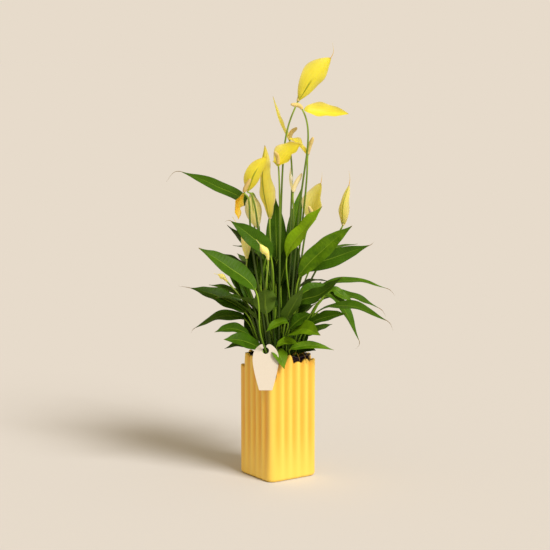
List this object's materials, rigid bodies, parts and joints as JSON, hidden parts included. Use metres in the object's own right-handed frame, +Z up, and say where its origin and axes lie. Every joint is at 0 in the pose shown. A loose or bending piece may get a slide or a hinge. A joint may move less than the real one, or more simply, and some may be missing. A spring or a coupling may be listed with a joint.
{
  "type": "potted peace lily",
  "caption": "Peace lily with arching leaves, yellow hooded flowers and buds, growing in a nursery pot that hangs inside a tall square fluted yellow planter with a blank care tag.",
  "frame": {"origin": "centre of the planter's flat base", "axes": "+Z up along the planter, +X and +Y square to the planter's sides; the fullest view of the plant is from -Y turned 35 degrees towards -X"},
  "size_m": [0.4162, 0.3959, 0.8424],
  "materials": {
    "glazed_ceramic": "yellow satin glaze on a fluted slip-cast body",
    "black_plastic": "thin vacuum-formed black-brown nursery pot",
    "potting_soil": "moist peat potting mix",
    "tag_card": "stiff cream card, matt, unprinted",
    "leaf": "smooth waxy leaf with a pressed-in midrib and side veins",
    "flower_stalk": "smooth green stalk ending in a knobbly cream-yellow spadix",
    "spathe": "thin yellow spathe with green veins, some browned at the edge",
    "bud": "rolled cream-yellow bud on a green stalk"
  },
  "bodies": {
    "root": {"planter": "glazed_ceramic", "nursery_pot": "black_plastic", "soil": "potting_soil", "care_tag": "tag_card", "leaf_1": "leaf", "leaf_2": "leaf", "leaf_3": "leaf", "leaf_4": "leaf", "leaf_5": "leaf", "leaf_6": "leaf", "leaf_7": "leaf", "leaf_8": "leaf", "leaf_9": "leaf", "leaf_10": "leaf", "leaf_11": "leaf", "leaf_12": "leaf", "leaf_13": "leaf", "leaf_14": "leaf", "leaf_15": "leaf", "leaf_16": "leaf", "leaf_17": "leaf", "leaf_18": "leaf", "leaf_19": "leaf", "leaf_20": "leaf", "leaf_21": "leaf", "leaf_22": "leaf", "leaf_23": "leaf", "leaf_24": "leaf", "leaf_25": "leaf", "leaf_26": "leaf", "leaf_27": "leaf", "leaf_28": "leaf", "leaf_29": "leaf", "flower_stalk_1": "flower_stalk", "spathe_1": "spathe", "flower_stalk_2": "flower_stalk", "spathe_2": "spathe", "flower_stalk_3": "flower_stalk", "spathe_3": "spathe", "flower_stalk_4": "flower_stalk", "spathe_4": "spathe", "flower_stalk_5": "flower_stalk", "spathe_5": "spathe", "flower_stalk_6": "flower_stalk", "spathe_6": "spathe", "flower_stalk_7": "flower_stalk", "spathe_7": "spathe", "flower_stalk_8": "flower_stalk", "spathe_8": "spathe", "flower_stalk_9": "flower_stalk", "spathe_9": "spathe", "flower_stalk_10": "flower_stalk", "spathe_10": "spathe", "flower_stalk_11": "flower_stalk", "spathe_11": "spathe", "flower_stalk_12": "flower_stalk", "spathe_12": "spathe", "bud_1": "bud", "bud_2": "bud", "bud_3": "bud"}
  },
  "joints": []
}
